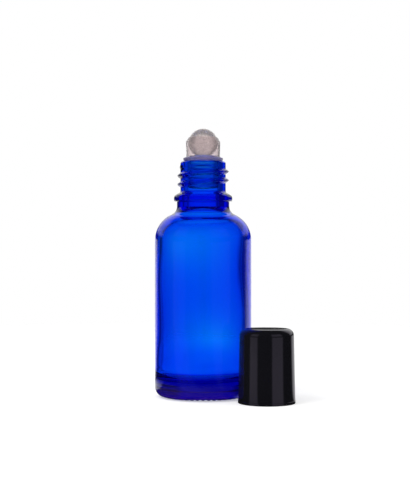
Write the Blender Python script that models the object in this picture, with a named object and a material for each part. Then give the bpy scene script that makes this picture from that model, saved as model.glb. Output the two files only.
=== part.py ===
"""Roll-on bottle: a blue glass bottle with a screw neck, the roller housing that plugs into it, the ball in
that housing, and the screw cap, which stands beside the bottle. Lengths are in metres, +Z is up, the table
is at z = 0, and the origin is the middle of the ground that the bottle and the cap cover together.
"""

import math

import bmesh
import bpy

# Glass bottle: the body
BOTTLE_HEIGHT = 0.0804
BODY_DIAMETER = 0.0330
BODY_WALL = 0.0020
HEEL_RADIUS = 0.0033
HEEL_SLOPE = math.radians(6.5)
BEARING_INSET = 0.0044
BEARING_WIDTH = 0.0014
PUNT_DEPTH = 0.0010
FLOOR_HEIGHT = 0.0050
FLOOR_CROWN = 0.0004
INNER_HEEL_RADIUS = 0.0036
SHOULDER_RADIUS = 0.0097
SHOULDER_FILLET = 0.0030
INNER_SHOULDER_FILLET = 0.0018

# Glass bottle: the neck and its right-hand screw thread
THREAD_DIAMETER = 0.0175
THREAD_DEPTH = 0.00102
THREAD_PITCH = 0.0030
THREAD_WIDTH = 0.0017
THREAD_DROP = 0.0018
THREAD_TURNS = 2.15
THREAD_TOP_ANGLE = math.radians(195)
THREAD_RUNOUT_TURNS = 0.12
NECK_WALL = 0.00213
NECK_FOOT_WALL = 0.00100
NECK_FOOT_TAPER = math.radians(25)
RIM_ROUND = 0.0007
MOUTH_CHAMFER = 0.0003

# Glass bottle: the bead under the thread, and the plain neck under the bead
BEAD_DROP = 0.0137
BEAD_LEDGE = 0.00121
BEAD_EDGE_HEIGHT = 0.00115
BEAD_LOWER_ROUND = 0.0004
BEAD_UPPER_ROUND = 0.0013
BEAD_SLOPE = math.radians(62)
BEAD_FILLET = 0.0008
BEAD_OVERHANG = 0.00103
LOWER_NECK_LENGTH = 0.0017

# Roller housing
SEAT_GAP = 0.0003
PLUG_LENGTH = 0.0094
PLUG_CLEARANCE = 0.00025
PLUG_WALL = 0.0009
PLUG_LEAD_IN = 0.0005
SEAL_RINGS = 3
SEAL_RING_CLEARANCE = 0.00008
SEAL_RING_WIDTH = 0.0010
FLANGE_THICKNESS = 0.00135
FLANGE_SLOPE = math.radians(25)
FLANGE_INSET = 0.00093
FLANGE_ROUND = 0.0003
FLANGE_DRAFT = 0.00012
TOWER_WALL = 0.0007
TOWER_TAPER = 0.00016
SEAT_HEIGHT = 0.0017
SEAT_MOAT_DEPTH = 0.0005
SEAT_LAND_SHARE = 0.3
FEED_HOLE_DIAMETER = 0.0058
WEB_THICKNESS = 0.0014
WEB_SLOPE_DROP = 0.0008
LIP_GRIP = 0.00025
LIP_LAND = 0.00015
LIP_BEVEL_HEIGHT = 0.00145

# Ball
BALL_DIAMETER = 0.0100
BALL_CLEARANCE = 0.00015

# Cap
CAP_WALL = 0.00065
CAP_TOP_WALL = 0.0011
CAP_TAPER = 0.00045
CAP_CORNER_RADIUS = 0.0024
CAP_CROWN = 0.00012
CAP_RIM_ROUND = 0.00015
CAP_MOUTH_CHAMFER = 0.0002
CAP_THREAD_CLEARANCE = 0.00008
CAP_THREAD_WIDTH = 0.0011
CAP_THREAD_TURNS = 1.75
CAP_STEP_CLEARANCE = 0.0006
CAP_STEP_HEIGHT = 0.0008
CAP_INNER_STEP = 0.0009
CAP_INNER_CORNER = 0.0012
CAP_RIM_GAP = 0.00040
CAP_HEADROOM = 0.0014
CAP_SEAL_DIAMETER = 0.0052
CAP_SEAL_WALL = 0.0008

# Where the cap stands: clear of the bottle, to its right and in front of it
CAP_STANDOFF = 0.0005
CAP_DIRECTION = math.radians(-37.8)

# How finely round shapes are cut
BOTTLE_SEGMENTS = 48
HOUSING_SEGMENTS = 36
CAP_SEGMENTS = 48
BALL_SEGMENTS = 28
THREAD_ROWS = 20
CAP_THREAD_ROWS = 16
FINE_ARC_STEPS = 6
COARSE_ARC_STEPS = 4
SMALL_ARC_STEPS = 2
SHARP_ANGLE = math.radians(40)
SAME_PLACE = 1e-7
FULL_TURN = 2 * math.pi

# Worked out from the sizes above: the bottle
BODY_RADIUS = BODY_DIAMETER / 2
INNER_BODY_RADIUS = BODY_RADIUS - BODY_WALL
THREAD_RADIUS = THREAD_DIAMETER / 2
NECK_RADIUS = THREAD_RADIUS - THREAD_DEPTH
BORE_RADIUS = NECK_RADIUS - NECK_WALL
THREAD_TOP = BOTTLE_HEIGHT - THREAD_DROP
BEAD_RADIUS = THREAD_RADIUS + BEAD_LEDGE
BEAD_BOTTOM = BOTTLE_HEIGHT - BEAD_DROP
BEAD_EDGE_TOP = BEAD_BOTTOM + BEAD_EDGE_HEIGHT
BEAD_SLOPE_RADIUS = BEAD_RADIUS - BEAD_UPPER_ROUND * (1 - math.cos(BEAD_SLOPE))
BEAD_SLOPE_BOTTOM = BEAD_EDGE_TOP + BEAD_UPPER_ROUND * math.sin(BEAD_SLOPE)
LOWER_NECK_RADIUS = BEAD_RADIUS - BEAD_OVERHANG
INNER_NECK_FOOT_RADIUS = LOWER_NECK_RADIUS - NECK_FOOT_WALL

# Worked out: the roller housing, from the underside of its flange up, and the ball
BALL_RADIUS = BALL_DIAMETER / 2
FEED_HOLE_RADIUS = FEED_HOLE_DIAMETER / 2
SOCKET_RADIUS = BALL_RADIUS + BALL_CLEARANCE
BALL_CENTRE = SEAT_HEIGHT + math.sqrt(SOCKET_RADIUS**2 - FEED_HOLE_RADIUS**2)
LIP_RADIUS = BALL_RADIUS - LIP_GRIP
LIP_TOP = BALL_CENTRE + math.sqrt(SOCKET_RADIUS**2 - LIP_RADIUS**2)
TOWER_TOP_RADIUS = SOCKET_RADIUS + TOWER_WALL
TOWER_FOOT_RADIUS = TOWER_TOP_RADIUS - TOWER_TAPER
FLANGE_RADIUS = NECK_RADIUS - FLANGE_INSET
HOUSING_HEIGHT = BOTTLE_HEIGHT + SEAT_GAP
BALL_HEIGHT = HOUSING_HEIGHT + BALL_CENTRE

# Worked out: the cap, whose open rim stops just above the bead's slope when it is screwed home
CAP_THREAD_RADIUS = THREAD_RADIUS + CAP_THREAD_CLEARANCE
CAP_RADIUS = CAP_THREAD_RADIUS + CAP_WALL
BEAD_UNDER_CAP = BEAD_SLOPE_BOTTOM + (BEAD_SLOPE_RADIUS - CAP_THREAD_RADIUS) / math.tan(BEAD_SLOPE)
CAP_HOME_HEIGHT = BEAD_UNDER_CAP + CAP_RIM_GAP
CAP_HEIGHT = BALL_HEIGHT + BALL_RADIUS + CAP_HEADROOM + CAP_TOP_WALL - CAP_HOME_HEIGHT

# Worked out: the places of the two axes
AXIS_DISTANCE = BODY_RADIUS + CAP_RADIUS + CAP_STANDOFF
CAP_OFFSET = (AXIS_DISTANCE * math.cos(CAP_DIRECTION), AXIS_DISTANCE * math.sin(CAP_DIRECTION))


def clear_scene():
    for obj in list(bpy.data.objects):
        bpy.data.objects.remove(obj)


def material(name, colour, roughness, transmission=0):
    made = bpy.data.materials.new(name)
    made.use_nodes = True
    shader = made.node_tree.nodes["Principled BSDF"]
    shader.inputs["Base Color"].default_value = (*colour, 1)
    shader.inputs["Roughness"].default_value = roughness
    shader.inputs["Metallic"].default_value = 0
    shader.inputs["Transmission Weight"].default_value = transmission
    return made


def axis_empty(name, x, y):
    """An upright axis on the table, which carries the pieces turned about it."""
    made = bpy.data.objects.new(name, None)
    made.location = (x, y, 0)
    bpy.context.scene.collection.objects.link(made)
    return made


def place_axes():
    """The bottle's axis and the cap's, with the ground that both pieces cover centred on the origin."""
    middle = []
    for offset in CAP_OFFSET:
        low = min(-BODY_RADIUS, offset - CAP_RADIUS)
        high = max(BODY_RADIUS, offset + CAP_RADIUS)
        middle.append((low + high) / 2)
    bottle = axis_empty("bottle_axis", -middle[0], -middle[1])
    cap = axis_empty("cap_axis", CAP_OFFSET[0] - middle[0], CAP_OFFSET[1] - middle[1])
    return bottle, cap


def place_shape(name, shape, surface, axis, height=0):
    """Turns a bmesh into an object that stands on an axis, at a height."""
    bmesh.ops.recalc_face_normals(shape, faces=shape.faces)
    mesh = bpy.data.meshes.new(name)
    shape.to_mesh(mesh)
    shape.free()
    mesh.materials.append(surface)
    mesh.shade_smooth()
    mesh.set_sharp_from_angle(angle=SHARP_ANGLE)
    obj = bpy.data.objects.new(name, mesh)
    obj.parent = axis
    obj.location = (0, 0, height)
    bpy.context.scene.collection.objects.link(obj)
    return obj


def arc(centre, radius, start, end, steps):
    """Points (radius, height) along an arc between two angles, measured up from straight outwards."""
    centre_r, centre_z = centre
    points = []
    for k in range(steps + 1):
        angle = start + (end - start) * k / steps
        points.append((centre_r + radius * math.cos(angle), centre_z + radius * math.sin(angle)))
    return points


def bowl(radius, edge_height, middle_height, steps):
    """Points from the axis outwards along a shallow bowl, without its edge point."""
    rise = middle_height - edge_height
    shares = [k / steps for k in range(steps)]
    return [(radius * share, edge_height + rise * (1 - share * share)) for share in shares]


def straight_wall(radius, low, high, rows):
    """Points up a straight wall, close enough together to carry a thread."""
    return [(radius, low + (high - low) * k / rows) for k in range(rows + 1)]


def shoulder_arcs(radius, fillet, neck_radius, shoulder_z=None, fillet_z=None, taper=0):
    """Points along a shoulder that flows into the fillet under a neck.

    The height of one of the two arcs' centres is given. The other follows, because the arcs are tangent.
    """
    shoulder_r = BODY_RADIUS - SHOULDER_RADIUS
    fillet_r = neck_radius + fillet
    across = fillet_r - shoulder_r
    up = math.sqrt((radius + fillet) ** 2 - across**2)
    if shoulder_z is None:
        shoulder_z = fillet_z - up
    meet = math.atan2(up, across)
    points = arc((shoulder_r, shoulder_z), radius, 0, meet, FINE_ARC_STEPS + SMALL_ARC_STEPS)
    points += arc((fillet_r, shoulder_z + up), fillet, math.pi + meet, math.pi + taper, FINE_ARC_STEPS)[1:]
    return points, shoulder_z


def turned(outline, segments, closed=False):
    """A bmesh made by turning an outline of (radius, height) points round the Z axis."""
    shape = bmesh.new()
    points = [shape.verts.new((r, 0, z)) for r, z in outline]
    edges = [shape.edges.new(pair) for pair in zip(points, points[1:])]
    if closed:
        edges.append(shape.edges.new((points[-1], points[0])))
    bmesh.ops.spin(
        shape,
        geom=points + edges,
        cent=(0, 0, 0),
        axis=(0, 0, 1),
        angle=FULL_TURN,
        steps=segments,
        use_merge=True,
    )
    bmesh.ops.remove_doubles(shape, verts=shape.verts, dist=SAME_PLACE)
    return shape


def raise_thread(shape, wall_radius, depth, width, top, turns):
    """Pushes the wall of that radius out by depth along a right-hand helix, which runs down from top.

    A negative depth makes an inside thread.
    """
    for vert in shape.verts:
        x, y, z = vert.co
        radius = math.hypot(x, y)
        if abs(radius - wall_radius) < SAME_PLACE:
            rise = depth * thread_share(math.atan2(y, x), z, width, top, turns)
            vert.co.x = x * (radius + rise) / radius
            vert.co.y = y * (radius + rise) / radius


def thread_share(angle, z, width, top, turns):
    """How much of its full height the thread has at a place, from 0 to 1."""
    back = ((THREAD_TOP_ANGLE - angle) / FULL_TURN) % 1
    share = 0
    while back <= turns:
        offset = abs(z - (top - THREAD_PITCH * back))
        if offset < width / 2:
            runout = min(1, back / THREAD_RUNOUT_TURNS, (turns - back) / THREAD_RUNOUT_TURNS)
            smooth = runout * runout * (3 - 2 * runout)
            share = max(share, smooth * math.cos(math.pi * offset / width))
        back += 1
    return share


def base_outline():
    """The underside from its middle to the heel: a shallow punt inside the ring that it stands on."""
    bearing_outer = BODY_RADIUS - BEARING_INSET
    bearing_inner = bearing_outer - BEARING_WIDTH
    heel_r = BODY_RADIUS - HEEL_RADIUS
    slope_length = heel_r + HEEL_RADIUS * math.sin(HEEL_SLOPE) - bearing_outer
    heel_z = HEEL_RADIUS * math.cos(HEEL_SLOPE) + slope_length * math.tan(HEEL_SLOPE)
    points = bowl(bearing_inner, 0, PUNT_DEPTH, COARSE_ARC_STEPS)
    points += [(bearing_inner, 0), (bearing_outer, 0)]
    points += arc((heel_r, heel_z), HEEL_RADIUS, HEEL_SLOPE - math.pi / 2, 0, FINE_ARC_STEPS)
    return points


def bead_outline():
    """The bead from its underside to the neck: a round edge, a slope, and a fillet."""
    lower = (BEAD_RADIUS - BEAD_LOWER_ROUND, BEAD_BOTTOM + BEAD_LOWER_ROUND)
    upper = (BEAD_RADIUS - BEAD_UPPER_ROUND, BEAD_EDGE_TOP)
    points = [(LOWER_NECK_RADIUS, BEAD_BOTTOM)]
    points += arc(lower, BEAD_LOWER_ROUND, -math.pi / 2, 0, SMALL_ARC_STEPS)
    points += arc(upper, BEAD_UPPER_ROUND, 0, BEAD_SLOPE, COARSE_ARC_STEPS)

    fillet_start = NECK_RADIUS + BEAD_FILLET * (1 - math.cos(BEAD_SLOPE))
    slope_top = BEAD_SLOPE_BOTTOM + (BEAD_SLOPE_RADIUS - fillet_start) / math.tan(BEAD_SLOPE)
    fillet = (NECK_RADIUS + BEAD_FILLET, slope_top + BEAD_FILLET * math.sin(BEAD_SLOPE))
    points += arc(fillet, BEAD_FILLET, math.pi + BEAD_SLOPE, math.pi, COARSE_ARC_STEPS)
    return points


def rim_outline(thread_bottom):
    """The neck from the foot of its threaded wall, over the rim, to the top of the bore."""
    round_z = BOTTLE_HEIGHT - RIM_ROUND
    points = straight_wall(NECK_RADIUS, thread_bottom, round_z, THREAD_ROWS)
    points += arc((NECK_RADIUS - RIM_ROUND, round_z), RIM_ROUND, 0, math.pi / 2, COARSE_ARC_STEPS)[1:]
    points += [(BORE_RADIUS + MOUTH_CHAMFER, BOTTLE_HEIGHT), (BORE_RADIUS, BOTTLE_HEIGHT - MOUTH_CHAMFER)]
    return points


def inside_outline(shoulder_z):
    """The hollow from the foot of the bore down to the middle of the floor."""
    shoulder, _ = shoulder_arcs(
        SHOULDER_RADIUS - BODY_WALL,
        INNER_SHOULDER_FILLET,
        INNER_NECK_FOOT_RADIUS,
        shoulder_z=shoulder_z,
        taper=NECK_FOOT_TAPER,
    )
    foot_r, foot_z = shoulder[-1]
    taper_top = foot_z + (foot_r - BORE_RADIUS) / math.tan(NECK_FOOT_TAPER)
    floor_edge = INNER_BODY_RADIUS - INNER_HEEL_RADIUS
    heel = (floor_edge, FLOOR_HEIGHT + INNER_HEEL_RADIUS)
    points = [(BORE_RADIUS, taper_top)] + shoulder[::-1]
    points += arc(heel, INNER_HEEL_RADIUS, 0, -math.pi / 2, FINE_ARC_STEPS)
    points += bowl(floor_edge, FLOOR_HEIGHT, FLOOR_HEIGHT + FLOOR_CROWN, COARSE_ARC_STEPS)[::-1]
    return points


def make_bottle(axis):
    """The glass in one outline: its base, its outside, the rim, and down its inside."""
    shoulder, shoulder_z = shoulder_arcs(
        SHOULDER_RADIUS, SHOULDER_FILLET, LOWER_NECK_RADIUS, fillet_z=BEAD_BOTTOM - LOWER_NECK_LENGTH
    )
    outline = base_outline() + shoulder + bead_outline()
    thread_bottom = outline.pop()[1]
    outline += rim_outline(thread_bottom) + inside_outline(shoulder_z)
    shape = turned(outline, BOTTLE_SEGMENTS)
    raise_thread(shape, NECK_RADIUS, THREAD_DEPTH, THREAD_WIDTH, THREAD_TOP, THREAD_TURNS)
    glass = material("cobalt_glass", (0.01, 0.09, 0.80), 0.02, transmission=1)
    return place_shape("glass_bottle", shape, glass, axis)


def plug_outline():
    """The outside of the plug, from its foot up: a lead-in, and rings that seal in the bore."""
    plug_radius = BORE_RADIUS - PLUG_CLEARANCE
    points = [(plug_radius - PLUG_WALL, -PLUG_LENGTH), (plug_radius - PLUG_LEAD_IN, -PLUG_LENGTH)]
    points += [(plug_radius, PLUG_LEAD_IN - PLUG_LENGTH)]
    for k in range(SEAL_RINGS):
        middle = -PLUG_LENGTH * (SEAL_RINGS - k) / (SEAL_RINGS + 1)
        points += [
            (plug_radius, middle - SEAL_RING_WIDTH / 2),
            (BORE_RADIUS - SEAL_RING_CLEARANCE, middle),
            (plug_radius, middle + SEAL_RING_WIDTH / 2),
        ]
    points += [(plug_radius, 0)]
    return points


def tower_outline():
    """The flange on the rim and the tower above it, up to the lip that holds the ball in."""
    round_r = FLANGE_RADIUS - FLANGE_ROUND
    drop = FLANGE_ROUND / math.cos(FLANGE_SLOPE) + (round_r - TOWER_FOOT_RADIUS) * math.tan(FLANGE_SLOPE)
    round_end = math.pi / 2 - FLANGE_SLOPE
    points = [(FLANGE_RADIUS - FLANGE_DRAFT, 0)]
    points += arc((round_r, FLANGE_THICKNESS - drop), FLANGE_ROUND, 0, round_end, SMALL_ARC_STEPS)
    points += [
        (TOWER_FOOT_RADIUS, FLANGE_THICKNESS),
        (TOWER_TOP_RADIUS, LIP_TOP - LIP_BEVEL_HEIGHT),
        (LIP_RADIUS + LIP_LAND, LIP_TOP),
    ]
    return points


def socket_outline():
    """The inside from the lip down: the ball's socket, its seat, the feed hole, the plug's bore."""
    seat_land = FEED_HOLE_RADIUS + SEAT_LAND_SHARE * (SOCKET_RADIUS - FEED_HOLE_RADIUS)
    moat_z = SEAT_HEIGHT - SEAT_MOAT_DEPTH
    web_bottom = SEAT_HEIGHT - WEB_THICKNESS
    grip_angle = math.acos(LIP_RADIUS / SOCKET_RADIUS)
    points = arc((0, BALL_CENTRE), SOCKET_RADIUS, grip_angle, 0, COARSE_ARC_STEPS)
    points += [
        (SOCKET_RADIUS, moat_z),
        (seat_land, moat_z),
        (FEED_HOLE_RADIUS, SEAT_HEIGHT),
        (FEED_HOLE_RADIUS, web_bottom),
        (BORE_RADIUS - PLUG_CLEARANCE - PLUG_WALL, web_bottom - WEB_SLOPE_DROP),
    ]
    return points


def make_roller_housing(axis):
    outline = plug_outline() + tower_outline() + socket_outline()
    shape = turned(outline, HOUSING_SEGMENTS, closed=True)
    plastic = material("natural_plastic", (0.78, 0.72, 0.70), 0.35, transmission=0.6)
    return place_shape("roller_housing", shape, plastic, axis, HOUSING_HEIGHT)


def make_roller_ball(axis):
    """The ball, whose own origin is its centre, on the axis that it rolls about."""
    shape = bmesh.new()
    bmesh.ops.create_uvsphere(
        shape, u_segments=BALL_SEGMENTS, v_segments=BALL_SEGMENTS // 2, radius=BALL_RADIUS
    )
    frosted = material("frosted_ball", (0.66, 0.61, 0.59), 0.4, transmission=0.3)
    return place_shape("roller_ball", shape, frosted, axis, BALL_HEIGHT)


def cap_outside():
    """The cap's outside, from the middle of its top to its open rim."""
    corner = (CAP_RADIUS - CAP_TAPER - CAP_CORNER_RADIUS, CAP_HEIGHT - CAP_CROWN - CAP_CORNER_RADIUS)
    rim = (CAP_RADIUS - CAP_RIM_ROUND, CAP_RIM_ROUND)
    points = bowl(corner[0], CAP_HEIGHT - CAP_CROWN, CAP_HEIGHT, SMALL_ARC_STEPS)
    points += arc(corner, CAP_CORNER_RADIUS, math.pi / 2, 0, FINE_ARC_STEPS)
    points += arc(rim, CAP_RIM_ROUND, 0, -math.pi / 2, SMALL_ARC_STEPS)
    return points


def cap_inside():
    """The cap's inside from its rim up: the threaded wall, a step, the ceiling, a ring above the ball."""
    wall_top = BOTTLE_HEIGHT - CAP_HOME_HEIGHT + CAP_STEP_CLEARANCE
    points = [(CAP_THREAD_RADIUS + CAP_MOUTH_CHAMFER, 0)]
    points += straight_wall(CAP_THREAD_RADIUS, CAP_MOUTH_CHAMFER, wall_top, CAP_THREAD_ROWS)

    ceiling = CAP_HEIGHT - CAP_TOP_WALL
    inner_radius = CAP_THREAD_RADIUS - CAP_INNER_STEP
    corner = (inner_radius - CAP_INNER_CORNER, ceiling - CAP_INNER_CORNER)
    points += [(inner_radius, wall_top + CAP_STEP_HEIGHT)]
    points += arc(corner, CAP_INNER_CORNER, 0, math.pi / 2, COARSE_ARC_STEPS)

    ring_radius = CAP_SEAL_DIAMETER / 2
    reach = BALL_RADIUS + BALL_CLEARANCE + CAP_SEAL_WALL / 2
    ring_z = BALL_HEIGHT - CAP_HOME_HEIGHT + math.sqrt(reach**2 - ring_radius**2)
    points += [(ring_radius + CAP_SEAL_WALL / 2, ceiling)]
    points += arc((ring_radius, ring_z), CAP_SEAL_WALL / 2, 0, -math.pi, COARSE_ARC_STEPS)
    points += [(ring_radius - CAP_SEAL_WALL / 2, ceiling), (0, ceiling)]
    return points


def make_cap(axis):
    """The cap. Its thread runs half a pitch under the bottle's, so the two mesh when the cap is home."""
    shape = turned(cap_outside() + cap_inside(), CAP_SEGMENTS)
    thread_top = THREAD_TOP - CAP_HOME_HEIGHT - THREAD_PITCH / 2
    raise_thread(shape, CAP_THREAD_RADIUS, -THREAD_DEPTH, CAP_THREAD_WIDTH, thread_top, CAP_THREAD_TURNS)
    black = material("black_plastic", (0.012, 0.012, 0.014), 0.12)
    return place_shape("cap", shape, black, axis)


def main():
    clear_scene()
    bottle_axis, cap_axis = place_axes()
    make_bottle(bottle_axis)
    make_roller_housing(bottle_axis)
    make_roller_ball(bottle_axis)
    make_cap(cap_axis)


main()
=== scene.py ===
"""Looks of the roll-on bottle: blue glass, translucent roller housing, frosted ball, glossy black cap.

Lengths are in metres, in the frame's own axes. Each piece is a finely turned mesh that stands for its
CAD node.
"""

import math

import bmesh
import bpy
import numpy as np
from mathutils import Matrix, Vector


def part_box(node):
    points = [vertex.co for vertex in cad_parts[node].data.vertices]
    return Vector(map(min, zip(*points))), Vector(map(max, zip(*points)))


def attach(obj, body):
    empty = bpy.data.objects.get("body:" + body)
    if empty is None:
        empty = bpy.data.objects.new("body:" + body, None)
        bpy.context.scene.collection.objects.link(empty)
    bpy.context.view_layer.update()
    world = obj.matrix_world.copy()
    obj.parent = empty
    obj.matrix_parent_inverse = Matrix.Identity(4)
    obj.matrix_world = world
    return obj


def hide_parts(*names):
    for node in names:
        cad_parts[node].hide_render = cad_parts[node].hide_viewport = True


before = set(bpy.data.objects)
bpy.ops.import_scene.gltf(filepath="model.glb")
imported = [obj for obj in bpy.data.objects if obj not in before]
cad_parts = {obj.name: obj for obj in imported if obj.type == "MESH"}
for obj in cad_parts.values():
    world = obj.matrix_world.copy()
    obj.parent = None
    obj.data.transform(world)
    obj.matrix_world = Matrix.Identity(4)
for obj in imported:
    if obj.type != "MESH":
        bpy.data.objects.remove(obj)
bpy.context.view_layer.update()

# The camera of the photograph, whose picture is 410 by 492 pixels
IMAGE_HEIGHT_PX = 492
FOCAL_LENGTH_PX = 1150
SENSOR_MM = 36
CAMERA_DISTANCE = 0.394
CAMERA_HEIGHT = 0.0515
CAMERA_ASIDE = 0.00065
CAMERA_CLIP_START = 0.01

# Places and overall sizes, read from the frame
BOTTLE_LOW, BOTTLE_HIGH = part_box("glass_bottle")
HOUSING_LOW, HOUSING_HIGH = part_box("roller_housing")
BALL_LOW, BALL_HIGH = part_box("roller_ball")
CAP_LOW, CAP_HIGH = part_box("cap")
BOTTLE_AXIS = (BOTTLE_LOW + BOTTLE_HIGH) / 2
CAP_AXIS = (CAP_LOW + CAP_HIGH) / 2
BALL_CENTRE = (BALL_LOW + BALL_HIGH) / 2
BODY_RADIUS = (BOTTLE_HIGH.x - BOTTLE_LOW.x) / 2
BOTTLE_HEIGHT = BOTTLE_HIGH.z
FLANGE_RADIUS = (HOUSING_HIGH.x - HOUSING_LOW.x) / 2
BALL_RADIUS = (BALL_HIGH.z - BALL_LOW.z) / 2
CAP_RADIUS = (CAP_HIGH.x - CAP_LOW.x) / 2
CAP_HEIGHT = CAP_HIGH.z

# Glass: the body
BODY_WALL = 0.0020
HEEL_RADIUS = 0.0033
HEEL_SLOPE = math.radians(6.5)
BEARING_INSET = 0.0044
BEARING_WIDTH = 0.0014
PUNT_DEPTH = 0.0010
PUNT_STEPS = 16
FLOOR_HEIGHT = 0.0059
FLOOR_CROWN = 0.0004
INNER_HEEL_RADIUS = 0.0034
SHOULDER_RADIUS = 0.0097
SHOULDER_FILLET = 0.0030
INNER_SHOULDER_FILLET = 0.0028
INNER_NECK_FOOT_RADIUS = 0.0090
INNER_NECK_TAPER = math.radians(46)

# Glass: the small rounded bosses round the standing ring
KNURLS = 44
KNURL_DEPTH = 0.0004
KNURL_REACH = 0.0022
KNURL_EDGE = 0.0008
KNURL_POWER = 0.6

# Glass: the uneven wall's foot above the inner floor, its top above the table, and its soft edges
SPOTS_FOOT = 0.006
SPOTS_TOP = 0.056
SPOTS_EDGE = 0.006

# Glass: uneven spots: direction from +X and reach round in degrees, height, reach up, depth
WALL_SPOTS = (
    (0, 42, 0.044, 0.012, 0.0006),
    (180, 40, 0.026, 0.010, 0.0003),
    (-130, 30, 0.052, 0.008, -0.0003),
    (130, 30, 0.052, 0.008, -0.0003),
    (-90, 60, 0.053, 0.009, -0.0002),
    (90, 60, 0.053, 0.009, -0.0002),
    (-70, 34, 0.020, 0.007, -0.0005),
    (74, 34, 0.020, 0.007, -0.0004),
    (-95, 50, 0.035, 0.009, 0.0002),
    (95, 50, 0.035, 0.009, 0.0002),
    (-90, 60, 0.011, 0.005, 0.0005),
    (90, 60, 0.011, 0.005, 0.0004),
)

# Glass: the neck
THREAD_RADIUS = 0.00875
THREAD_DEPTH = 0.00102
THREAD_PITCH = 0.0030
THREAD_WIDTH = 0.0018
THREAD_DROP = 0.0017
THREAD_TURNS = 2.18
THREAD_TOP_ANGLE = math.radians(207)
THREAD_START_TURNS = 0.26
THREAD_RUNOUT_TURNS = 0.12
NECK_RADIUS = THREAD_RADIUS - THREAD_DEPTH
NECK_WALL = 0.00213
BORE_RADIUS = NECK_RADIUS - NECK_WALL
RIM_ROUND = 0.0007
MOUTH_ROUND = 0.0003
BEAD_OVERHANG = 0.00121
BEAD_RADIUS = THREAD_RADIUS + BEAD_OVERHANG
BEAD_DROP = 0.0137
BEAD_BOTTOM = BOTTLE_HEIGHT - BEAD_DROP
BEAD_EDGE_HEIGHT = 0.00115
BEAD_LOWER_ROUND = 0.0004
BEAD_UPPER_ROUND = 0.0013
BEAD_SLOPE = math.radians(62)
BEAD_FILLET = 0.0008
LOWER_NECK_INSET = 0.00103
LOWER_NECK_RADIUS = BEAD_RADIUS - LOWER_NECK_INSET
LOWER_NECK_LENGTH = 0.0017

# Roller housing, measured from the underside of its flange
SEAT_GAP = 0.0003
HOUSING_HEIGHT = BOTTLE_HEIGHT + SEAT_GAP
PLUG_CLEARANCE = 0.00025
PLUG_RADIUS = BORE_RADIUS - PLUG_CLEARANCE
PLUG_WALL = 0.0009
PLUG_FOOT = HOUSING_LOW.z - HOUSING_HEIGHT
PLUG_LEAD_IN = 0.0005
SEAL_RINGS = 3
SEAL_RING_RISE = 0.00016
SEAL_RING_WIDTH = 0.0010
FLANGE_THICKNESS = 0.00135
FLANGE_SLOPE = math.radians(25)
FLANGE_ROUND = 0.0003
FLANGE_DRAFT = 0.00012
SOCKET_CLEARANCE = 0.00015
SOCKET_RADIUS = BALL_RADIUS + SOCKET_CLEARANCE
TOWER_WALL = 0.0007
TOWER_RADIUS = SOCKET_RADIUS + TOWER_WALL
TOWER_TAPER = 0.00016
SEAT_HEIGHT = 0.0017
SEAT_MOAT_DEPTH = 0.0005
SEAT_LAND_SHARE = 0.3
FEED_HOLE_RADIUS = 0.0029
WEB_THICKNESS = 0.0014
WEB_SLOPE_DROP = 0.0008
LIP_HOLD = 0.00025
LIP_RADIUS = BALL_RADIUS - LIP_HOLD
LIP_TOP = HOUSING_HIGH.z - HOUSING_HEIGHT
LIP_LAND = 0.00015
LIP_BEVEL_HEIGHT = 0.00145
SMALL_ROUND = 0.00012

# Cap, measured from its open rim
CAP_WALL = 0.00065
CAP_TOP_WALL = 0.0011
CAP_TAPER = 0.00045
CAP_CORNER_RADIUS = 0.0024
CAP_CROWN = 0.00012
CAP_BAND_HEIGHT = 0.0009
CAP_BAND_RISE = 0.00007
CAP_RIM_ROUND = 0.00015
CAP_HOME_HEIGHT = 0.06963
CAP_THREAD_RADIUS = CAP_RADIUS - CAP_WALL
CAP_THREAD_WIDTH = 0.0012
CAP_THREAD_TURNS = 1.75
CAP_WALL_PAST_RIM = 0.0006
CAP_WALL_TOP = BOTTLE_HEIGHT - CAP_HOME_HEIGHT + CAP_WALL_PAST_RIM
CAP_STEP_HEIGHT = 0.0008
CAP_INNER_STEP = 0.0009
CAP_INNER_CORNER = 0.0012
CAP_SEAL_RADIUS = 0.0026
CAP_SEAL_WALL = 0.0008
CAP_SEAL_GAP = 0.00015

# How finely the pieces are cut
GLASS_SEGMENTS = 360
FINE_SEGMENTS = 192
BOWL_STEPS = 10
ARC_STEP = math.radians(6)
THREAD_ROW = 0.00012
PLAIN_ROW = 0.0012
KNURL_ROW = 0.0002
SHARP_ANGLE = math.radians(38)
SAME_PLACE = 1e-7
FULL_TURN = 2 * math.pi

# How corners are rounded: each takes up to one part of its shorter side, unless it is nearly straight
ROUNDING_SHARES = (0, 0.25, 0.5, 0.75, 1)
SIDE_PARTS = 2.2
STRAIGHT = 0.99

# Looks: colours are linear, and waves are counted per metre
WHITE = (1, 1, 1, 1)

# Look of the cobalt glass
GLASS_IOR = 1.5
GLASS_TINT = (0.0, 0.71, 0.98, 1)
GLASS_DENSITY = 2200
GLASS_GLINT = (0.08, 0.10, 1, 1)
GLASS_ROUGHNESS = (0.0, 0.03)
GLASS_ROUGHNESS_WAVES = 220
GLASS_WAVES = 90
GLASS_WAVE_DEPTH = 0.00006
# The base's violet is painted light: a violet matt share low in the glass stands in for the table's
# light seen through the thick base
BASE_PAINTED_LIGHT_TOP = 0.0062
BASE_PAINTED_LIGHT_FOOT = 0.0005
BASE_PAINTED_LIGHT_COLOR = (1, 0.12, 1, 1)
BASE_PAINTED_LIGHT_SHARE = 0.03

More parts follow.
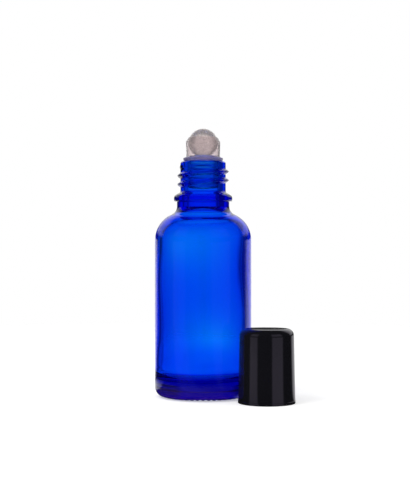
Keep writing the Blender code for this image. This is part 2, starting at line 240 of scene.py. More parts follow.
# Look of the natural plastic: clear tower and plug, hazier flange
PLASTIC_IOR = 1.49
TOWER_COLOR = (0.90, 0.82, 0.83, 1)
# The flange's lilac blue is painted light: the blue of the glass beneath, shining up into it
FLANGE_PAINTED_BLUE_LIGHT = (0.50, 0.44, 0.80, 1)
PLUG_COLOR = (0.95, 0.90, 0.97, 1)
TOWER_FADE = (0.0004, 0.0001)
PLUG_FADE = 0.0002
PLASTIC_TRANSMISSION = 0.93
FLANGE_ROUGHNESS = 0.35
CLEAR_ROUGHNESS = 0.14
PLASTIC_UNEVENNESS = (0.8, 1.2)
PLASTIC_ROUGHNESS_WAVES = 900
PLASTIC_WAVES = 600
SATIN_DEPTH = 0.000004

# Look of the frosted ball
BALL_COLOR = (0.84, 0.785, 0.765, 1)
BALL_TRANSMISSION = 0.79
BALL_ROUGHNESS = (0.24, 0.32)
BALL_ROUGHNESS_WAVES = 1500
BALL_WAVES = 2500

# Look of the glossy black plastic
BLACK_IOR = 1.5
BLACK_COLOR = (0.006, 0.006, 0.008, 1)
BLACK_GLINT = (0.82, 0.72, 1, 1)
BLACK_ROUGHNESS = (0.05, 0.12)
BLACK_ROUGHNESS_WAVES = 700
BLACK_WAVES = 300
BLACK_WAVE_DEPTH = 0.00002

# Table top, which fades out towards its edge
FLOOR_RADIUS = 0.4
FLOOR_FADE = 0.2
FLOOR_SIDES = 128
FLOOR_ALBEDO = 0.8
FLOOR_FILL = 0.45
FLOOR_FILL_IN_GLASS = 0.33

# Table top in gloss and glass: its bright pool, the pool's front edge in gloss, the cap's mirror focus
POOL_RADIUS = 0.050
POOL_EDGE = 0.030
POOL_FRONT = (0.008, 0.016)
CAP_FOCUS_SHARE = 0.6

# Studio panels: middle's azimuth from +Y towards +X, half width and soft edge in degrees, brightness
GLOSS_PANELS = {
    "backdrop": (10, 40, 16, 1.0),
    "right_soft_box": (137, 20, 8, 0.50),
    "left_soft_box": (-121, 13, 8, 0.48),
}
GLASS_PANELS = {
    "backdrop": (-4, 20, 14, 1.1),
    "left_of_backdrop": (-60, 13, 12, 0.75),
    "right_soft_box": (135, 28, 20, 0.9),
    "left_soft_box": (-135, 28, 20, 0.9),
}

# Studio in height: each pair is the sine of the elevation where a light is out and where it is full
GLOSS_TOP = (0.80, 0.60)
SKYLINE = (0.13, 0.30)
TABLE_EDGE = (0.045, 0.02)
STRIP_FOOT = (0.095, 0.105)
STRIP_TOP = (0.30, 0.20)
CANOPY_BOTTOM = (0.10, 0.22)
CANOPY_TOP = (0.70, 0.55)

# Studio: the canopy's front edge, as a share of the direction +Y
CANOPY_FRONT = (0.30, 0.50)

# Studio: how bright the strip, the canopy, the dark parts and the light on matt surfaces are
STRIP_LEVEL = 0.75
CANOPY_LEVEL = 0.9
DARK_IN_GLOSS = 0.015
DARK_IN_GLASS = 0.3
STUDIO_LIGHT = 0.75

# Soft key lamp
KEY_LAMP_PLACE = (-0.5, -0.35, 0.7)
KEY_LAMP_TARGET = (0, 0, 0.04)
KEY_LAMP_SIZE = 0.5
KEY_LAMP_POWER = 3.0


def arc(centre, radius, start, end):
    """Points (radius, height) along an arc between two angles, measured up from straight outwards."""
    steps = max(2, math.ceil(abs(end - start) / ARC_STEP))
    angles = [start + (end - start) * k / steps for k in range(steps + 1)]
    return [(centre[0] + radius * math.cos(a), centre[1] + radius * math.sin(a)) for a in angles]


def bowl(radius, edge_height, middle_height, steps=BOWL_STEPS):
    """Points from the axis outwards along a shallow bowl, without its edge point."""
    shares = [k / steps for k in range(steps)]
    rise = middle_height - edge_height
    return [(radius * share, edge_height + rise * (1 - share * share)) for share in shares]


def line(start, end, step):
    """Points from start to end, both included, no further apart than a step."""
    count = max(1, math.ceil(math.dist(start, end) / step))
    return [
        (start[0] + (end[0] - start[0]) * k / count, start[1] + (end[1] - start[1]) * k / count)
        for k in range(count + 1)
    ]


def plain(r, z, angle):
    """No relief: the surface as it was turned."""
    return r, z


def turned(name, parts, segments, axis, height=0, closed=False):
    """An object turned about an axis from one or more stretches of outline, each with its own relief."""
    angles = np.arange(segments) * FULL_TURN / segments
    rings = []
    for outline, relief in parts:
        points = np.array(outline)
        angle = np.repeat(angles[None, :], len(points), 0)
        r, z = relief(points[:, :1] + 0 * angle, points[:, 1:] + 0 * angle, angle)
        rings.append(np.stack((r * np.cos(angle), r * np.sin(angle), z + height), -1))
    grid = np.concatenate(rings)
    grid[..., 0] += axis.x
    grid[..., 1] += axis.y

    rows = len(grid)
    last = rows if closed else rows - 1
    row, column = np.meshgrid(np.arange(last), np.arange(segments), indexing="ij")
    above = (row + 1) % rows
    beside = (column + 1) % segments
    corners = ((row, column), (row, beside), (above, beside), (above, column))
    faces = np.stack([level * segments + place for level, place in corners], -1)
    mesh = bpy.data.meshes.new(name)
    mesh.from_pydata(grid.reshape(-1, 3).tolist(), [], faces.reshape(-1, 4).tolist())
    return linked(name, welded(mesh))


def welded(mesh):
    """The mesh with its poles closed and its faces pointing out, smooth but for its sharp edges."""
    shape = bmesh.new()
    shape.from_mesh(mesh)
    bmesh.ops.remove_doubles(shape, verts=shape.verts, dist=SAME_PLACE)
    bmesh.ops.recalc_face_normals(shape, faces=shape.faces)
    shape.to_mesh(mesh)
    shape.free()
    mesh.shade_smooth()
    mesh.set_sharp_from_angle(angle=SHARP_ANGLE)
    return mesh


def linked(name, data):
    """A new object in the scene."""
    obj = bpy.data.objects.new(name, data)
    bpy.context.scene.collection.objects.link(obj)
    return obj


def smooth(share):
    """A share from 0 to 1, eased at both ends."""
    return share * share * (3 - 2 * share)


def thread_share(angle, z, width, top, turns):
    """How much of its full height a right-hand thread has at each place, from 0 to 1."""
    share = np.zeros_like(z)
    start = ((THREAD_TOP_ANGLE - angle) / FULL_TURN) % 1
    for turn in range(math.ceil(turns)):
        back = start + turn
        offset = np.abs(z - (top - THREAD_PITCH * back))
        to_ends = np.minimum(back / THREAD_START_TURNS, (turns - back) / THREAD_RUNOUT_TURNS)
        runout = np.clip(to_ends, 0, 1)
        ridge = np.cos(np.clip(offset / width, 0, 0.5) * math.pi)
        share = np.maximum(share, smooth(runout) * ridge)
    return share


def window(value, low, high, soft):
    """1 between low and high, falling smoothly to 0 over a soft edge outside them."""
    return smooth(np.clip((value - low) / soft + 1, 0, 1) * np.clip((high - value) / soft + 1, 0, 1))


def knurled(r, z, angle):
    """The ring that the bottle stands on: small rounded bosses with hollows between them."""
    bearing_outer = BODY_RADIUS - BEARING_INSET
    place = window(r, bearing_outer - BEARING_WIDTH, bearing_outer + KNURL_REACH, KNURL_EDGE)
    place = place * (z < HEEL_RADIUS)
    hollow = (0.5 - 0.5 * np.cos(angle * KNURLS)) ** KNURL_POWER
    return r, z + KNURL_DEPTH * place * hollow


def outside_relief(r, z, angle):
    """The bosses under the base and the thread on the neck."""
    r, z = knurled(r, z, angle)
    on_neck = np.abs(r - NECK_RADIUS) < SAME_PLACE
    share = thread_share(angle, z, THREAD_WIDTH, BOTTLE_HEIGHT - THREAD_DROP, THREAD_TURNS)
    return r + THREAD_DEPTH * share * on_neck, z


def inside_relief(r, z, angle):
    """The blown wall: thicker and thinner spots on its inner side, clear of the floor and the neck."""
    thicker = 0 * z
    for toward, reach_round, height, reach_up, depth in WALL_SPOTS:
        aside = np.abs((angle - math.radians(toward) + math.pi) % FULL_TURN - math.pi)
        round_share = (aside / math.radians(reach_round)) ** 2
        up_share = ((z - height) / reach_up) ** 2
        thicker += depth * np.exp(-round_share - up_share)
    return r - thicker * window(z, FLOOR_HEIGHT + SPOTS_FOOT, SPOTS_TOP, SPOTS_EDGE), z


def shoulder_arcs(radius, fillet, neck_radius, shoulder_z=None, fillet_z=None, taper=0):
    """A shoulder that flows into the fillet under a neck, and the height of the shoulder's centre.

    Either shoulder_z or fillet_z is given, the height of that arc's centre.
    """
    shoulder_r = BODY_RADIUS - SHOULDER_RADIUS
    fillet_r = neck_radius + fillet
    across = fillet_r - shoulder_r
    up = math.sqrt((radius + fillet) ** 2 - across**2)
    if shoulder_z is None:
        shoulder_z = fillet_z - up
    meet = math.atan2(up, across)
    points = arc((shoulder_r, shoulder_z), radius, 0, meet)
    points += arc((fillet_r, shoulder_z + up), fillet, math.pi + meet, math.pi + taper)[1:]
    return points, shoulder_z


def base_outline():
    """The punt, the ring that the bottle stands on, the slope outside it and the heel."""
    bearing_outer = BODY_RADIUS - BEARING_INSET
    bearing_inner = bearing_outer - BEARING_WIDTH
    heel_r = BODY_RADIUS - HEEL_RADIUS
    slope_length = heel_r + HEEL_RADIUS * math.sin(HEEL_SLOPE) - bearing_outer
    slope_rise = slope_length * math.tan(HEEL_SLOPE)
    heel_z = HEEL_RADIUS * math.cos(HEEL_SLOPE) + slope_rise
    heel = arc((heel_r, heel_z), HEEL_RADIUS, HEEL_SLOPE - math.pi / 2, 0)
    points = bowl(bearing_inner, 0, PUNT_DEPTH, PUNT_STEPS)
    points += line((bearing_inner, 0), (bearing_outer, 0), KNURL_ROW)
    points += line((bearing_outer, 0), heel[0], KNURL_ROW)[1:-1]
    return points + heel


def bead_outline():
    """The bead from its underside to the neck: a round edge, a slope, and a fillet."""
    lower = (BEAD_RADIUS - BEAD_LOWER_ROUND, BEAD_BOTTOM + BEAD_LOWER_ROUND)
    upper = (BEAD_RADIUS - BEAD_UPPER_ROUND, BEAD_BOTTOM + BEAD_EDGE_HEIGHT)
    points = [(LOWER_NECK_RADIUS, BEAD_BOTTOM)]
    points += arc(lower, BEAD_LOWER_ROUND, -math.pi / 2, 0)
    points += arc(upper, BEAD_UPPER_ROUND, 0, BEAD_SLOPE)
    foot_r, foot_z = points[-1]
    fillet_start = NECK_RADIUS + BEAD_FILLET * (1 - math.cos(BEAD_SLOPE))
    slope_top = foot_z + (foot_r - fillet_start) / math.tan(BEAD_SLOPE)
    fillet = (NECK_RADIUS + BEAD_FILLET, slope_top + BEAD_FILLET * math.sin(BEAD_SLOPE))
    points += arc(fillet, BEAD_FILLET, math.pi + BEAD_SLOPE, math.pi)
    return points


def glass_outside():
    """The glass from under its middle to its mouth, and the height of its shoulder's centre."""
    shoulder, shoulder_z = shoulder_arcs(
        SHOULDER_RADIUS, SHOULDER_FILLET, LOWER_NECK_RADIUS, fillet_z=BEAD_BOTTOM - LOWER_NECK_LENGTH
    )
    points = base_outline()
    points += line(points[-1], shoulder[0], PLAIN_ROW)[1:-1]
    points += shoulder + bead_outline()
    neck_foot = points.pop()
    points += line(neck_foot, (NECK_RADIUS, BOTTLE_HEIGHT - RIM_ROUND), THREAD_ROW)
    points += arc((NECK_RADIUS - RIM_ROUND, BOTTLE_HEIGHT - RIM_ROUND), RIM_ROUND, 0, math.pi / 2)[1:]
    mouth = (BORE_RADIUS + MOUTH_ROUND, BOTTLE_HEIGHT - MOUTH_ROUND)
    points += arc(mouth, MOUTH_ROUND, math.pi / 2, math.pi)
    return points, shoulder_z


def glass_inside(shoulder_z):
    """The glass from its mouth down to the middle of its inner floor."""
    shoulder, _ = shoulder_arcs(
        SHOULDER_RADIUS - BODY_WALL,
        INNER_SHOULDER_FILLET,
        INNER_NECK_FOOT_RADIUS,
        shoulder_z=shoulder_z,
        taper=INNER_NECK_TAPER,
    )
    foot_r, foot_z = shoulder[-1]
    taper_top = (BORE_RADIUS, foot_z + (foot_r - BORE_RADIUS) / math.tan(INNER_NECK_TAPER))
    inner_radius = BODY_RADIUS - BODY_WALL
    heel = (inner_radius - INNER_HEEL_RADIUS, FLOOR_HEIGHT + INNER_HEEL_RADIUS)
    points = line((BORE_RADIUS, BOTTLE_HEIGHT - MOUTH_ROUND), taper_top, PLAIN_ROW)[1:]
    points += line(taper_top, shoulder[-1], PLAIN_ROW)[1:-1]
    points += shoulder[::-1]
    points += line(points[-1], (inner_radius, heel[1]), PLAIN_ROW)[1:-1]
    points += arc(heel, INNER_HEEL_RADIUS, 0, -math.pi / 2)
    points += bowl(heel[0], FLOOR_HEIGHT, FLOOR_HEIGHT + FLOOR_CROWN)[::-1]
    return points


def make_glass():
    """The bottle: one skin from the punt round by the outside and the mouth to the inner floor."""
    outside, shoulder_z = glass_outside()
    parts = [(outside, outside_relief), (glass_inside(shoulder_z), inside_relief)]
    glass = turned("glass_shell", parts, GLASS_SEGMENTS, BOTTLE_AXIS)
    return finish_piece(glass, "bottle", "glass_bottle", glass_material())


def rounded(points, radius):
    """The same outline with each inner corner rounded off by up to that radius."""
    result = [points[0]]
    for before, corner, after in zip(points, points[1:], points[2:]):
        into = np.subtract(corner, before)
        out = np.subtract(after, corner)
        reach = min(radius, np.linalg.norm(into) / SIDE_PARTS, np.linalg.norm(out) / SIDE_PARTS)
        into = into / np.linalg.norm(into)
        out = out / np.linalg.norm(out)
        if np.dot(into, out) > STRAIGHT:
            result.append(tuple(corner))
            continue
        start = np.subtract(corner, into * reach)
        end = np.add(corner, out * reach)
        for share in ROUNDING_SHARES:
            bend = (1 - share) ** 2 * start + 2 * share * (1 - share) * np.array(corner)
            result.append(tuple(bend + share**2 * end))
    result.append(points[-1])
    return result


def plug_outline(bore):
    """The plug from the foot of its bore up its outside, with its sealing rings."""
    points = [
        (bore, PLUG_FOOT),
        (PLUG_RADIUS - PLUG_LEAD_IN, PLUG_FOOT),
        (PLUG_RADIUS, PLUG_FOOT + PLUG_LEAD_IN),
    ]
    for k in range(SEAL_RINGS):
        ring = PLUG_FOOT * (SEAL_RINGS - k) / (SEAL_RINGS + 1)
        points += [
            (PLUG_RADIUS, ring - SEAL_RING_WIDTH / 2),
            (PLUG_RADIUS + SEAL_RING_RISE, ring),
            (PLUG_RADIUS, ring + SEAL_RING_WIDTH / 2),
        ]
    return points


def flange_and_tower():
    """The flange from its underside to its sloping top, and the tower up to its lip."""
    round_r = FLANGE_RADIUS - FLANGE_ROUND
    tower_foot = TOWER_RADIUS - TOWER_TAPER
    drop = FLANGE_ROUND / math.cos(FLANGE_SLOPE) + (round_r - tower_foot) * math.tan(FLANGE_SLOPE)
    round_end = math.pi / 2 - FLANGE_SLOPE
    points = [(PLUG_RADIUS, 0), (FLANGE_RADIUS - FLANGE_DRAFT, 0)]
    points += arc((round_r, FLANGE_THICKNESS - drop), FLANGE_ROUND, 0, round_end)
    points += [
        (tower_foot, FLANGE_THICKNESS),
        (TOWER_RADIUS, LIP_TOP - LIP_BEVEL_HEIGHT),
        (LIP_RADIUS + LIP_LAND, LIP_TOP),
    ]
    return points


def socket_outline(bore):
    """The ball's socket from its lip down, the seat, and the feed hole down to the plug's bore."""
    moat_z = SEAT_HEIGHT - SEAT_MOAT_DEPTH
    web_bottom = SEAT_HEIGHT - WEB_THICKNESS
    land = SEAT_LAND_SHARE * (SOCKET_RADIUS - FEED_HOLE_RADIUS)
    centre = (0, BALL_CENTRE.z - HOUSING_HEIGHT)
    points = arc(centre, SOCKET_RADIUS, math.acos(LIP_RADIUS / SOCKET_RADIUS), 0)
    points += [
        (SOCKET_RADIUS, moat_z),
        (FEED_HOLE_RADIUS + land, moat_z),
        (FEED_HOLE_RADIUS, SEAT_HEIGHT),
        (FEED_HOLE_RADIUS, web_bottom),
        (bore, web_bottom - WEB_SLOPE_DROP),
    ]
    return points


def housing_outline():
    """The housing as one closed loop, from the foot of the plug's bore round by the outside."""
    bore = PLUG_RADIUS - PLUG_WALL
    loop = plug_outline(bore) + flange_and_tower() + socket_outline(bore)
    return rounded([loop[-1]] + loop + [loop[0]], SMALL_ROUND)[1:-1]


def make_housing():
    """The roller housing, one closed loop turned round the bottle's axis."""
    parts = [(housing_outline(), plain)]
    housing = turned("housing_moulding", parts, FINE_SEGMENTS, BOTTLE_AXIS, HOUSING_HEIGHT, closed=True)
    return finish_piece(housing, "housing", "roller_housing", natural_plastic())


def make_ball():
    """The ball, turned from a half circle."""
    half = arc((0, 0), BALL_RADIUS, -math.pi / 2, math.pi / 2)
    half[0] = (0, -BALL_RADIUS)
    half[-1] = (0, BALL_RADIUS)
    ball = turned("frosted_sphere", [(half, plain)], FINE_SEGMENTS, BALL_CENTRE, BALL_CENTRE.z)
    return finish_piece(ball, "ball", "roller_ball", frosted_ball())


def cap_relief(r, z, angle):
    """The thread inside the cap, half a pitch below the neck's when the cap is home."""
    on_wall = np.abs(r - CAP_THREAD_RADIUS) < SAME_PLACE
    top = BOTTLE_HEIGHT - THREAD_DROP - CAP_HOME_HEIGHT - THREAD_PITCH / 2
    share = thread_share(angle, z, CAP_THREAD_WIDTH, top, CAP_THREAD_TURNS)
    return r - THREAD_DEPTH * share * on_wall, z


def cap_outside():
    """The cap from the middle of its top down to its rim, with the fine band at its foot."""
    corner = (CAP_RADIUS - CAP_TAPER - CAP_CORNER_RADIUS, CAP_HEIGHT - CAP_CROWN - CAP_CORNER_RADIUS)
    side_foot = (CAP_RADIUS - CAP_BAND_RISE, CAP_BAND_HEIGHT + CAP_BAND_RISE)
    above_band = (side_foot[0], side_foot[1] + CAP_BAND_RISE)
    points = bowl(corner[0], CAP_HEIGHT - CAP_CROWN, CAP_HEIGHT)
    points += arc(corner, CAP_CORNER_RADIUS, math.pi / 2, 0)
    points += line(points[-1], above_band, PLAIN_ROW)[1:]
    points += [side_foot, (CAP_RADIUS, CAP_BAND_HEIGHT)]
    points += arc((CAP_RADIUS - CAP_RIM_ROUND, CAP_RIM_ROUND), CAP_RIM_ROUND, 0, -math.pi / 2)
    return points


def cap_inside():
    """The cap's inside from its rim up to the middle of its ceiling, with the ring above the ball."""
    mouth = (CAP_THREAD_RADIUS + CAP_RIM_ROUND, CAP_RIM_ROUND)
    points = arc(mouth, CAP_RIM_ROUND, -math.pi / 2, -math.pi)[:-1]
    points += line((CAP_THREAD_RADIUS, CAP_RIM_ROUND), (CAP_THREAD_RADIUS, CAP_WALL_TOP), THREAD_ROW)
    ceiling = CAP_HEIGHT - CAP_TOP_WALL
    inner_radius = CAP_THREAD_RADIUS - CAP_INNER_STEP
    corner = (inner_radius - CAP_INNER_CORNER, ceiling - CAP_INNER_CORNER)
    points += [(inner_radius, CAP_WALL_TOP + CAP_STEP_HEIGHT)]
    points += arc(corner, CAP_INNER_CORNER, 0, math.pi / 2)
    reach = BALL_RADIUS + CAP_SEAL_GAP + CAP_SEAL_WALL / 2
    ring_z = BALL_CENTRE.z - CAP_HOME_HEIGHT + math.sqrt(reach**2 - CAP_SEAL_RADIUS**2)
    points += [(CAP_SEAL_RADIUS + CAP_SEAL_WALL / 2, ceiling)]
    points += arc((CAP_SEAL_RADIUS, ring_z), CAP_SEAL_WALL / 2, 0, -math.pi)
    points += [(CAP_SEAL_RADIUS - CAP_SEAL_WALL / 2, ceiling), (0, ceiling)]
    return points


def make_cap():
    """The cap, open at its foot, where it stands on the table."""
    parts = [(cap_outside(), plain), (cap_inside(), cap_relief)]
    cap = turned("cap_shell", parts, FINE_SEGMENTS, CAP_AXIS)
    return finish_piece(cap, "cap", "cap", black_plastic())


def finish_piece(piece, body, node, material):
    """The piece with its material, riding on its body in place of its node."""
    piece.data.materials.append(material)
    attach(piece, body)
    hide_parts(node)
    return piece


def new_material(name):
    """A new material, its node tree and its shader."""
    material = bpy.data.materials.new(name)
    material.use_nodes = True
    tree = material.node_tree
    return material, tree, tree.nodes["Principled BSDF"]


def feed(tree, socket, value):
    """Sets an input socket, or links it where the value is another node's output."""
    if isinstance(value, bpy.types.NodeSocket):
        tree.links.new(value, socket)
    else:
        socket.default_value = value


def feed_all(tree, node, **inputs):
    """The node, with its input sockets fed by name."""
    for key, value in inputs.items():
        feed(tree, node.inputs[key.replace("_", " ")], value)
    return node


def add(tree, kind, settings=None, **inputs):
    """A new node with its properties, and its input sockets fed by name."""
    node = tree.nodes.new(kind)
    for key, value in (settings or {}).items():
        setattr(node, key, value)
    return feed_all(tree, node, **inputs)


def noise(tree, waves, detail=3):
    """Noise in the object's own space, with so many waves to a metre."""
    place = add(tree, "ShaderNodeTexCoord").outputs["Object"]
    texture = add(tree, "ShaderNodeTexNoise", Vector=place, Scale=waves, Detail=detail)
    return texture.outputs["Fac"]


def ranged(tree, value, low, high):
    """A 0 to 1 value, stretched to run from low to high."""
    return add(tree, "ShaderNodeMapRange", Value=value, To_Min=low, To_Max=high).outputs["Result"]


def math_node(tree, operation, *values):
    """The result of a Math node on values or other nodes' outputs."""
    node = tree.nodes.new("ShaderNodeMath")
    node.operation = operation
    for socket, value in zip(node.inputs, values):
        feed(tree, socket, value)
    return node.outputs[0]


def height_mask(tree, none_at, full_at):
    """0 up to one height above the table and 1 from another, which may be the lower of the two."""
    place = add(tree, "ShaderNodeTexCoord").outputs["Object"]
    height = add(tree, "ShaderNodeSeparateXYZ", Vector=place).outputs["Z"]
    mask = add(tree, "ShaderNodeMapRange", Value=height, From_Min=none_at, From_Max=full_at)
    return mask.outputs["Result"]


def blended(tree, share, first, second):
    """A colour between two colours."""
    node = add(tree, "ShaderNodeMix", {"data_type": "RGBA"})
    for key, value in (("Factor_Float", share), ("A_Color", first), ("B_Color", second)):
        feed(tree, next(s for s in node.inputs if s.identifier == key), value)
    return next(s for s in node.outputs if s.identifier == "Result_Color")


def bumped(tree, shader, height, depth):
    """Fine waves of the surface, so many metres deep."""
    bump = add(tree, "ShaderNodeBump", Height=height, Distance=depth)
    tree.links.new(bump.outputs["Normal"], shader.inputs["Normal"])


def glass_material():
    """Cobalt glass: faint waves of a blown wall, blue all the way through, and painted violet light in
    its base.
    """
    material, tree, shader = new_material("cobalt_glass_look")
    # Painted light: low in the glass, a violet matt share stands in for the table's light through the
    # thick base
    haze = height_mask(tree, BASE_PAINTED_LIGHT_TOP, BASE_PAINTED_LIGHT_FOOT)
    feed_all(
        tree,
        shader,
        IOR=GLASS_IOR,
        Specular_Tint=GLASS_GLINT,
        Base_Color=blended(tree, haze, WHITE, BASE_PAINTED_LIGHT_COLOR),
        Transmission_Weight=ranged(tree, haze, 1, 1 - BASE_PAINTED_LIGHT_SHARE),
        Roughness=ranged(tree, noise(tree, GLASS_ROUGHNESS_WAVES), *GLASS_ROUGHNESS),
    )
    bumped(tree, shader, noise(tree, GLASS_WAVES, detail=2), GLASS_WAVE_DEPTH)
    absorption = add(tree, "ShaderNodeVolumeAbsorption", Color=GLASS_TINT, Density=GLASS_DENSITY)
    output = tree.nodes["Material Output"]
    tree.links.new(absorption.outputs["Volume"], output.inputs["Volume"])
    return material


def natural_plastic():
    """Uncoloured plastic: clear in tower and plug, hazier in the flange, whose blue is painted light
    from the glass beneath.
    """
    material, tree, shader = new_material("natural_plastic_look")
    flange_top = HOUSING_HEIGHT + FLANGE_THICKNESS
    below, above = TOWER_FADE
    tower = height_mask(tree, flange_top - below, flange_top + above)
    plug = height_mask(tree, HOUSING_HEIGHT, HOUSING_HEIGHT - PLUG_FADE)
    clear = math_node(tree, "MAXIMUM", tower, plug)
    # Painted light: the flange takes the lilac blue that the glass beneath throws up into it
    upper = blended(tree, tower, FLANGE_PAINTED_BLUE_LIGHT, TOWER_COLOR)
    haze = ranged(tree, clear, FLANGE_ROUGHNESS, CLEAR_ROUGHNESS)
    uneven = ranged(tree, noise(tree, PLASTIC_ROUGHNESS_WAVES), *PLASTIC_UNEVENNESS)
    feed_all(
        tree,
        shader,
        IOR=PLASTIC_IOR,
        Base_Color=blended(tree, plug, upper, PLUG_COLOR),
        Transmission_Weight=PLASTIC_TRANSMISSION,
        Roughness=math_node(tree, "MULTIPLY", haze, uneven),
    )
    bumped(tree, shader, noise(tree, PLASTIC_WAVES), SATIN_DEPTH)
    return material


def frosted_ball():
    """A frosted translucent ball."""
    material, tree, shader = new_material("frosted_ball_look")
    feed_all(
        tree,
        shader,
        IOR=PLASTIC_IOR,
        Base_Color=BALL_COLOR,
        Transmission_Weight=BALL_TRANSMISSION,
        Roughness=ranged(tree, noise(tree, BALL_ROUGHNESS_WAVES), *BALL_ROUGHNESS),
    )
    bumped(tree, shader, noise(tree, BALL_WAVES), SATIN_DEPTH)
    return material


def black_plastic():
    """Glossy black plastic with the faint unevenness of a moulding."""
    material, tree, shader = new_material("black_plastic_look")
    feed_all(
        tree,
        shader,
        IOR=BLACK_IOR,
        Specular_Tint=BLACK_GLINT,
        Base_Color=BLACK_COLOR,
        Roughness=ranged(tree, noise(tree, BLACK_ROUGHNESS_WAVES), *BLACK_ROUGHNESS),
    )
    bumped(tree, shader, noise(tree, BLACK_WAVES, detail=1), BLACK_WAVE_DEPTH)
    return material


def seen_directly(tree, path):
    """1 for what the camera sees straight, in gloss or through glass, and 0 for what only lights."""
    seen = path.outputs["Is Camera Ray"]
    for way in ("Is Transmission Ray", "Is Glossy Ray"):
        seen = math_node(tree, "MAXIMUM", seen, path.outputs[way])
    return seen


def eased(tree, value, none_at, full_at, level=1):
    """0 up to one value, then rising or falling smoothly to a level at another."""
    return add(
        tree,
        "ShaderNodeMapRange",
        {"interpolation_type": "SMOOTHSTEP"},
        Value=value,
        From_Min=none_at,
        From_Max=full_at,
        To_Max=level,
    ).outputs["Result"]


def brightest(tree, azimuth, panels):
    """How bright the panels show at an azimuth."""
    shown = 0
    for middle, half_width, edge, level in panels.values():
        aside = math_node(tree, "ABSOLUTE", math_node(tree, "SUBTRACT", azimuth, math.radians(middle)))
        light = eased(tree, aside, math.radians(half_width + edge), math.radians(half_width), level)
        shown = math_node(tree, "MAXIMUM", light, shown)
    return shown


def azimuth_of(tree, toward):
    """The parts of a direction, and its azimuth from +Y towards +X."""
    parts = add(tree, "ShaderNodeSeparateXYZ", Vector=toward).outputs
    return parts, math_node(tree, "ARCTAN2", parts["X"], parts["Y"])


def gloss_level(tree, toward):
    """What gloss shows in a direction: the panels, and a canopy at the back.

    The panels are dark in the gap between the table's edge and the skyline.
    """
    parts, azimuth = azimuth_of(tree, toward)
    canopy = CANOPY_LEVEL
    for part, (none_at, full_at) in (("Z", CANOPY_BOTTOM), ("Z", CANOPY_TOP), ("Y", CANOPY_FRONT)):
        canopy = math_node(tree, "MULTIPLY", eased(tree, parts[part], none_at, full_at), canopy)
    panels = brightest(tree, azimuth, GLOSS_PANELS)
    over_gap = eased(tree, parts["Z"], *SKYLINE)
    under_gap = eased(tree, parts["Z"], *TABLE_EDGE)
    beside_gap = math_node(tree, "MAXIMUM", over_gap, under_gap)
    for share in (eased(tree, parts["Z"], *GLOSS_TOP), beside_gap):
        panels = math_node(tree, "MULTIPLY", panels, share)
    gloss = math_node(tree, "MAXIMUM", panels, canopy)
    return math_node(tree, "MAXIMUM", gloss, DARK_IN_GLOSS)


def glass_level(tree, toward):
    """What glass shows in a direction: the panels, and a strip all round, low over the table."""
    parts, azimuth = azimuth_of(tree, toward)
    strip = STRIP_LEVEL
    for none_at, full_at in (STRIP_FOOT, STRIP_TOP):
        strip = math_node(tree, "MULTIPLY", eased(tree, parts["Z"], none_at, full_at), strip)
    glass = math_node(tree, "MAXIMUM", brightest(tree, azimuth, GLASS_PANELS), strip)
    return math_node(tree, "MAXIMUM", glass, DARK_IN_GLASS)


def studio_level(tree, path, in_glass, in_gloss):
    """The studio in a direction: white to the camera, its panels in gloss and through glass."""
    glass = glass_level(tree, in_glass)
    gloss = gloss_level(tree, in_gloss)
    studio = ranged(tree, path.outputs["Is Transmission Ray"], gloss, glass)
    return math_node(tree, "MAXIMUM", studio, path.outputs["Is Camera Ray"])


def make_world():
    """White to the camera, an even soft light on matt surfaces, and the studio in gloss and glass."""
    world = bpy.data.worlds.new("studio")
    bpy.context.scene.world = world
    world.use_nodes = True
    tree = world.node_tree
    tree.nodes.clear()
    path = add(tree, "ShaderNodeLightPath")
    toward = add(tree, "ShaderNodeTexCoord").outputs["Generated"]
    studio = studio_level(tree, path, toward, toward)
    level = ranged(tree, seen_directly(tree, path), STUDIO_LIGHT, studio)
    background = add(tree, "ShaderNodeBackground", Color=WHITE, Strength=level)
    output = add(tree, "ShaderNodeOutputWorld")
    tree.links.new(background.outputs[0], output.inputs["Surface"])


def floor_level(tree, path, place, reach):
    """How bright the table top shows: bright near the object, and further out as the studio shows.

    Gloss has the bright pool only behind the object. Its azimuths are taken from the point where the
    cap's curved side gathers its mirror image, so that the cap's highlights run straight to its foot.
    """
    pool = eased(tree, reach, POOL_RADIUS + POOL_EDGE, POOL_RADIUS)
    across = add(tree, "ShaderNodeSeparateXYZ", Vector=place).outputs["Y"]
    behind = eased(tree, across, *POOL_FRONT)
    in_pool = math_node(tree, "MAXIMUM", path.outputs["Is Transmission Ray"], behind)
    to_cap = (-CAP_AXIS.x, CAP_FOCUS_SHARE * CAP_RADIUS - CAP_AXIS.y, 0)
    from_cap = add(tree, "ShaderNodeMapping", Vector=place, Location=to_cap).outputs["Vector"]
    studio = studio_level(tree, path, place, from_cap)
    return math_node(tree, "MAXIMUM", studio, math_node(tree, "MULTIPLY", pool, in_pool))


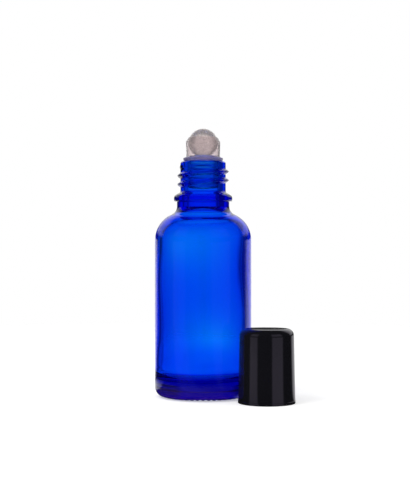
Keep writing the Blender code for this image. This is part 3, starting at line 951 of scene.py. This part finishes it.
def floor_material():
    """Matt white with a soft glow of its own, clear towards the rim of the table top."""
    material = bpy.data.materials.new("pale_floor")
    material.use_nodes = True
    tree = material.node_tree
    tree.nodes.clear()
    path = add(tree, "ShaderNodeLightPath")
    place = add(tree, "ShaderNodeTexCoord").outputs["Object"]
    reach = add(tree, "ShaderNodeVectorMath", {"operation": "LENGTH"}, Vector=place).outputs["Value"]
    seen = seen_directly(tree, path)
    shown = ranged(tree, seen, 1, floor_level(tree, path, place, reach))
    matt = add(tree, "ShaderNodeBsdfDiffuse", Color=math_node(tree, "MULTIPLY", shown, FLOOR_ALBEDO))
    fill = ranged(tree, path.outputs["Is Camera Ray"], FLOOR_FILL_IN_GLASS, FLOOR_FILL)
    fill = math_node(tree, "MULTIPLY", math_node(tree, "MULTIPLY", seen, shown), fill)
    glow = add(tree, "ShaderNodeEmission", Color=WHITE, Strength=fill)
    both = add(tree, "ShaderNodeAddShader")
    tree.links.new(matt.outputs[0], both.inputs[0])
    tree.links.new(glow.outputs[0], both.inputs[1])
    clear = add(tree, "ShaderNodeBsdfTransparent")
    faded = add(tree, "ShaderNodeMixShader", Fac=eased(tree, reach, FLOOR_FADE, FLOOR_RADIUS))
    tree.links.new(both.outputs[0], faded.inputs[1])
    tree.links.new(clear.outputs[0], faded.inputs[2])
    output = add(tree, "ShaderNodeOutputMaterial")
    tree.links.new(faded.outputs[0], output.inputs["Surface"])
    return material


def make_floor():
    """A round white table top. In gloss and glass it fades into the studio away from the object."""
    angles = [FULL_TURN * k / FLOOR_SIDES for k in range(FLOOR_SIDES)]
    rim = [(FLOOR_RADIUS * math.cos(a), FLOOR_RADIUS * math.sin(a), 0) for a in angles]
    mesh = bpy.data.meshes.new("floor")
    mesh.from_pydata(rim, [], [tuple(range(FLOOR_SIDES))])
    mesh.materials.append(floor_material())
    floor = linked("floor", mesh)


def make_lamp(name, place, target, size, power):
    """A soft square lamp that faces its target."""
    light = bpy.data.lights.new(name, "AREA")
    light.size = size
    light.energy = power
    lamp = linked(name, light)
    lamp.location = place
    direction = np.subtract(target, place)
    lamp.rotation_mode = "QUATERNION"
    lamp.rotation_quaternion = Vector(direction).to_track_quat("-Z", "Y")
    lamp.visible_glossy = False
    lamp.visible_transmission = False


def make_camera():
    """The photograph's camera, level, in front of the bottle."""
    data = bpy.data.cameras.new("camera")
    data.sensor_width = SENSOR_MM
    data.lens = SENSOR_MM * FOCAL_LENGTH_PX / IMAGE_HEIGHT_PX
    data.clip_start = CAMERA_CLIP_START
    camera = linked("camera", data)
    camera.location = (BOTTLE_AXIS.x + CAMERA_ASIDE, BOTTLE_AXIS.y - CAMERA_DISTANCE, CAMERA_HEIGHT)
    camera.rotation_euler = (math.pi / 2, 0, 0)
    bpy.context.scene.camera = camera


make_camera()
make_glass()
make_housing()
make_ball()
make_cap()
make_floor()
make_world()
make_lamp("key_lamp", KEY_LAMP_PLACE, KEY_LAMP_TARGET, KEY_LAMP_SIZE, KEY_LAMP_POWER)
bpy.context.scene.view_settings.view_transform = "Standard"
